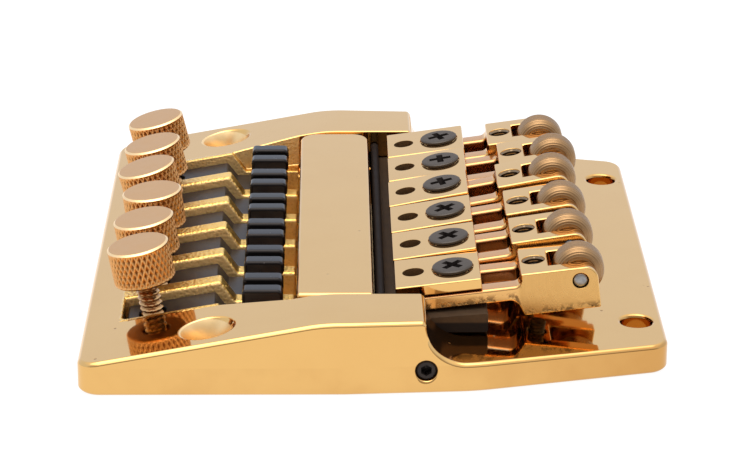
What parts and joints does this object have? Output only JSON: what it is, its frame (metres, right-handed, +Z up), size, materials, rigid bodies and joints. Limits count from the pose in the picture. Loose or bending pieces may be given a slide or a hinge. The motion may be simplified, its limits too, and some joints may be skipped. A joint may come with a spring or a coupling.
{
  "type": "fixed guitar bridge",
  "caption": "Fixed metal bridge for a string guitar: a low tapered frame with a comb of string hooks tuned by thumbscrews, and clamped saddles that carry the strings on rollers.",
  "frame": {"origin": "middle of the underside, below the centre of the bounding box", "axes": "+X runs from the tail, with the thumbscrews, towards the neck; +Y runs across the strings, to the thinnest string's side; +Z is up from the instrument's top"},
  "size_m": [0.0784, 0.0886, 0.0161],
  "materials": {
    "polished_gold": "mirror-polished gold plate on cast and milled metal",
    "knurled_gold": "gold plate over turned metal, knurled round the edge and satin on top",
    "satin_black": "satin black plate",
    "black_oxide": "black oxide on steel screws",
    "turned_brass": "turned brass, matt with fine tool lines",
    "grey_steel": "ground steel"
  },
  "bodies": {
    "root": {"base_frame": "polished_gold", "string_bar": "polished_gold", "hook_shaft": "grey_steel", "saddle_bar": "satin_black", "side_lock_screw_near": "black_oxide", "side_lock_screw_far": "black_oxide", "clamp_screw_1": "black_oxide", "clamp_screw_2": "black_oxide", "clamp_screw_3": "black_oxide", "clamp_screw_4": "black_oxide", "clamp_screw_5": "black_oxide", "clamp_screw_6": "black_oxide"},
    "hook_1": {"string_hook_1": "satin_black"},
    "thumbscrew_1": {"tuner_screw_1": "knurled_gold"},
    "knob_1": {"tuner_knob_1": "knurled_gold"},
    "plate_1": {"clamp_plate_1": "polished_gold"},
    "carriage_1": {"saddle_1": "polished_gold", "roller_pin_1": "grey_steel"},
    "wheel_1": {"roller_1": "turned_brass"},
    "set_screw_1": {"height_screw_1": "black_oxide"},
    "hook_2": {"string_hook_2": "satin_black"},
    "thumbscrew_2": {"tuner_screw_2": "knurled_gold"},
    "knob_2": {"tuner_knob_2": "knurled_gold"},
    "plate_2": {"clamp_plate_2": "polished_gold"},
    "carriage_2": {"saddle_2": "polished_gold", "roller_pin_2": "grey_steel"},
    "wheel_2": {"roller_2": "turned_brass"},
    "set_screw_2": {"height_screw_2": "black_oxide"},
    "hook_3": {"string_hook_3": "satin_black"},
    "thumbscrew_3": {"tuner_screw_3": "knurled_gold"},
    "knob_3": {"tuner_knob_3": "knurled_gold"},
    "plate_3": {"clamp_plate_3": "polished_gold"},
    "carriage_3": {"saddle_3": "polished_gold", "roller_pin_3": "grey_steel"},
    "wheel_3": {"roller_3": "turned_brass"},
    "set_screw_3": {"height_screw_3": "black_oxide"},
    "hook_4": {"string_hook_4": "satin_black"},
    "thumbscrew_4": {"tuner_screw_4": "knurled_gold"},
    "knob_4": {"tuner_knob_4": "knurled_gold"},
    "plate_4": {"clamp_plate_4": "polished_gold"},
    "carriage_4": {"saddle_4": "polished_gold", "roller_pin_4": "grey_steel"},
    "wheel_4": {"roller_4": "turned_brass"},
    "set_screw_4": {"height_screw_4": "black_oxide"},
    "hook_5": {"string_hook_5": "satin_black"},
    "thumbscrew_5": {"tuner_screw_5": "knurled_gold"},
    "knob_5": {"tuner_knob_5": "knurled_gold"},
    "plate_5": {"clamp_plate_5": "polished_gold"},
    "carriage_5": {"saddle_5": "polished_gold", "roller_pin_5": "grey_steel"},
    "wheel_5": {"roller_5": "turned_brass"},
    "set_screw_5": {"height_screw_5": "black_oxide"},
    "hook_6": {"string_hook_6": "satin_black"},
    "thumbscrew_6": {"tuner_screw_6": "knurled_gold"},
    "knob_6": {"tuner_knob_6": "knurled_gold"},
    "plate_6": {"clamp_plate_6": "polished_gold"},
    "carriage_6": {"saddle_6": "polished_gold", "roller_pin_6": "grey_steel"},
    "wheel_6": {"roller_6": "turned_brass"},
    "set_screw_6": {"height_screw_6": "black_oxide"}
  },
  "joints": [
    {"name": "hook_tilt_1", "type": "hinge", "parent": "root", "child": "hook_1", "pos_m": [-0.0189, 0.0265, 0.0026], "axis": [0, 1, 0], "range_deg": [-2, 8]},
    {"name": "screw_travel_1", "type": "slide", "parent": "hook_1", "child": "thumbscrew_1", "axis": [0.2334, 0, -0.9724], "range_m": [-0.00036, 0.00146]},
    {"name": "knob_turn_1", "type": "hinge", "parent": "thumbscrew_1", "child": "knob_1", "pos_m": [-0.02987, 0.0265, 0.00369], "axis": [0.2334, 0, -0.9724], "range_deg": [-165, 660]},
    {"name": "saddle_height_1", "type": "hinge", "parent": "root", "child": "plate_1", "pos_m": [0.0032, 0.0265, 0.0064], "axis": [0, 1, 0], "range_deg": [-1.5, 1.5]},
    {"name": "saddle_slide_1", "type": "slide", "parent": "plate_1", "child": "carriage_1", "axis": [0.99, 0, 0.1409], "range_m": [-0.002, 0.0025]},
    {"name": "roller_spin_1", "type": "hinge", "parent": "carriage_1", "child": "wheel_1", "pos_m": [0.02582, 0.0265, 0.01139], "axis": [0, 1, 0], "continuous": true},
    {"name": "height_screw_travel_1", "type": "slide", "parent": "carriage_1", "child": "set_screw_1", "axis": [-0.1409, 0, 0.99], "range_m": [-0.0005, 0.0005]},
    {"name": "hook_tilt_2", "type": "hinge", "parent": "root", "child": "hook_2", "pos_m": [-0.0189, 0.0159, 0.0026], "axis": [0, 1, 0], "range_deg": [-2, 8]},
    {"name": "screw_travel_2", "type": "slide", "parent": "hook_2", "child": "thumbscrew_2", "axis": [0.23, 0, -0.9732], "range_m": [-0.00036, 0.00146]},
    {"name": "knob_turn_2", "type": "hinge", "parent": "thumbscrew_2", "child": "knob_2", "pos_m": [-0.02987, 0.0159, 0.00369], "axis": [0.23, 0, -0.9732], "range_deg": [-165, 660]},
    {"name": "saddle_height_2", "type": "hinge", "parent": "root", "child": "plate_2", "pos_m": [0.0032, 0.0159, 0.0064], "axis": [0, 1, 0], "range_deg": [-1.5, 1.5]},
    {"name": "saddle_slide_2", "type": "slide", "parent": "plate_2", "child": "carriage_2", "axis": [0.9871, 0, 0.1599], "range_m": [-0.002, 0.0025]},
    {"name": "roller_spin_2", "type": "hinge", "parent": "carriage_2", "child": "wheel_2", "pos_m": [0.02701, 0.0159, 0.01203], "axis": [0, 1, 0], "continuous": true},
    {"name": "height_screw_travel_2", "type": "slide", "parent": "carriage_2", "child": "set_screw_2", "axis": [-0.1599, 0, 0.9871], "range_m": [-0.0005, 0.0005]},
    {"name": "hook_tilt_3", "type": "hinge", "parent": "root", "child": "hook_3", "pos_m": [-0.0189, 0.0053, 0.0026], "axis": [0, 1, 0], "range_deg": [-2, 8]},
    {"name": "screw_travel_3", "type": "slide", "parent": "hook_3", "child": "thumbscrew_3", "axis": [0.2521, 0, -0.9677], "range_m": [-0.00036, 0.00146]},
    {"name": "knob_turn_3", "type": "hinge", "parent": "thumbscrew_3", "child": "knob_3", "pos_m": [-0.02987, 0.0053, 0.00369], "axis": [0.2521, 0, -0.9677], "range_deg": [-165, 660]},
    {"name": "saddle_height_3", "type": "hinge", "parent": "root", "child": "plate_3", "pos_m": [0.0032, 0.0053, 0.0064], "axis": [0, 1, 0], "range_deg": [-1.5, 1.5]},
    {"name": "saddle_slide_3", "type": "slide", "parent": "plate_3", "child": "carriage_3", "axis": [0.9813, 0, 0.1925], "range_m": [-0.002, 0.0025]},
    {"name": "roller_spin_3", "type": "hinge", "parent": "carriage_3", "child": "wheel_3", "pos_m": [0.02617, 0.0053, 0.01269], "axis": [0, 1, 0], "continuous": true},
    {"name": "height_screw_travel_3", "type": "slide", "parent": "carriage_3", "child": "set_screw_3", "axis": [-0.1925, 0, 0.9813], "range_m": [-0.0005, 0.0005]},
    {"name": "hook_tilt_4", "type": "hinge", "parent": "root", "child": "hook_4", "pos_m": [-0.0189, -0.0053, 0.0026], "axis": [0, 1, 0], "range_deg": [-2, 8]},
    {"name": "screw_travel_4", "type": "slide", "parent": "hook_4", "child": "thumbscrew_4", "axis": [0.1236, 0, -0.9923], "range_m": [-0.00036, 0.00146]},
    {"name": "knob_turn_4", "type": "hinge", "parent": "thumbscrew_4", "child": "knob_4", "pos_m": [-0.02987, -0.0053, 0.00369], "axis": [0.1236, 0, -0.9923], "range_deg": [-165, 660]},
    {"name": "saddle_height_4", "type": "hinge", "parent": "root", "child": "plate_4", "pos_m": [0.0032, -0.0053, 0.0064], "axis": [0, 1, 0], "range_deg": [-1.5, 1.5]},
    {"name": "saddle_slide_4", "type": "slide", "parent": "plate_4", "child": "carriage_4", "axis": [0.9854, 0, 0.1702], "range_m": [-0.002, 0.0025]},
    {"name": "roller_spin_4", "type": "hinge", "parent": "carriage_4", "child": "wheel_4", "pos_m": [0.02675, -0.0053, 0.01224], "axis": [0, 1, 0], "continuous": true},
    {"name": "height_screw_travel_4", "type": "slide", "parent": "carriage_4", "child": "set_screw_4", "axis": [-0.1702, 0, 0.9854], "range_m": [-0.0005, 0.0005]},
    {"name": "hook_tilt_5", "type": "hinge", "parent": "root", "child": "hook_5", "pos_m": [-0.0189, -0.0159, 0.0026], "axis": [0, 1, 0], "range_deg": [-2, 8]},
    {"name": "screw_travel_5", "type": "slide", "parent": "hook_5", "child": "thumbscrew_5", "axis": [0.1771, 0, -0.9842], "range_m": [-0.00036, 0.00146]},
    {"name": "knob_turn_5", "type": "hinge", "parent": "thumbscrew_5", "child": "knob_5", "pos_m": [-0.02987, -0.0159, 0.00369], "axis": [0.1771, 0, -0.9842], "range_deg": [-165, 660]},
    {"name": "saddle_height_5", "type": "hinge", "parent": "root", "child": "plate_5", "pos_m": [0.0032, -0.0159, 0.0064], "axis": [0, 1, 0], "range_deg": [-1.5, 1.5]},
    {"name": "saddle_slide_5", "type": "slide", "parent": "plate_5", "child": "carriage_5", "axis": [0.988, 0, 0.1547], "range_m": [-0.002, 0.0025]},
    {"name": "roller_spin_5", "type": "hinge", "parent": "carriage_5", "child": "wheel_5", "pos_m": [0.02694, -0.0159, 0.01189], "axis": [0, 1, 0], "continuous": true},
    {"name": "height_screw_travel_5", "type": "slide", "parent": "carriage_5", "child": "set_screw_5", "axis": [-0.1547, 0, 0.988], "range_m": [-0.0005, 0.0005]},
    {"name": "hook_tilt_6", "type": "hinge", "parent": "root", "child": "hook_6", "pos_m": [-0.0189, -0.0265, 0.0026], "axis": [0, 1, 0], "range_deg": [-2, 8]},
    {"name": "screw_travel_6", "type": "slide", "parent": "hook_6", "child": "thumbscrew_6", "axis": [0.1891, 0, -0.982], "range_m": [-0.00036, 0.00146]},
    {"name": "knob_turn_6", "type": "hinge", "parent": "thumbscrew_6", "child": "knob_6", "pos_m": [-0.02987, -0.0265, 0.00369], "axis": [0.1891, 0, -0.982], "range_deg": [-165, 660]},
    {"name": "saddle_height_6", "type": "hinge", "parent": "root", "child": "plate_6", "pos_m": [0.0032, -0.0265, 0.0064], "axis": [0, 1, 0], "range_deg": [-1.5, 1.5]},
    {"name": "saddle_slide_6", "type": "slide", "parent": "plate_6", "child": "carriage_6", "axis": [0.9925, 0, 0.1219], "range_m": [-0.002, 0.0025]},
    {"name": "roller_spin_6", "type": "hinge", "parent": "carriage_6", "child": "wheel_6", "pos_m": [0.0276, -0.0265, 0.01116], "axis": [0, 1, 0], "continuous": true},
    {"name": "height_screw_travel_6", "type": "slide", "parent": "carriage_6", "child": "set_screw_6", "axis": [-0.1219, 0, 0.9925], "range_m": [-0.0005, 0.0005]}
  ],
  "couplings": [
    {"joint": "hook_tilt_1", "follows": "screw_travel_1", "rad_per_m": 94.073},
    {"joint": "knob_turn_1", "follows": "screw_travel_1", "rad_per_m": 7854},
    {"joint": "height_screw_travel_1", "follows": "saddle_height_1", "m_per_rad": 0.01717},
    {"joint": "hook_tilt_2", "follows": "screw_travel_2", "rad_per_m": 94.073},
    {"joint": "knob_turn_2", "follows": "screw_travel_2", "rad_per_m": 7854},
    {"joint": "height_screw_travel_2", "follows": "saddle_height_2", "m_per_rad": 0.01847},
    {"joint": "hook_tilt_3", "follows": "screw_travel_3", "rad_per_m": 94.073},
    {"joint": "knob_turn_3", "follows": "screw_travel_3", "rad_per_m": 7854},
    {"joint": "height_screw_travel_3", "follows": "saddle_height_3", "m_per_rad": 0.01782},
    {"joint": "hook_tilt_4", "follows": "screw_travel_4", "rad_per_m": 94.073},
    {"joint": "knob_turn_4", "follows": "screw_travel_4", "rad_per_m": 7854},
    {"joint": "height_screw_travel_4", "follows": "saddle_height_4", "m_per_rad": 0.01827},
    {"joint": "hook_tilt_5", "follows": "screw_travel_5", "rad_per_m": 94.073},
    {"joint": "knob_turn_5", "follows": "screw_travel_5", "rad_per_m": 7854},
    {"joint": "height_screw_travel_5", "follows": "saddle_height_5", "m_per_rad": 0.01837},
    {"joint": "hook_tilt_6", "follows": "screw_travel_6", "rad_per_m": 94.073},
    {"joint": "knob_turn_6", "follows": "screw_travel_6", "rad_per_m": 7854},
    {"joint": "height_screw_travel_6", "follows": "saddle_height_6", "m_per_rad": 0.01887}
  ]
}
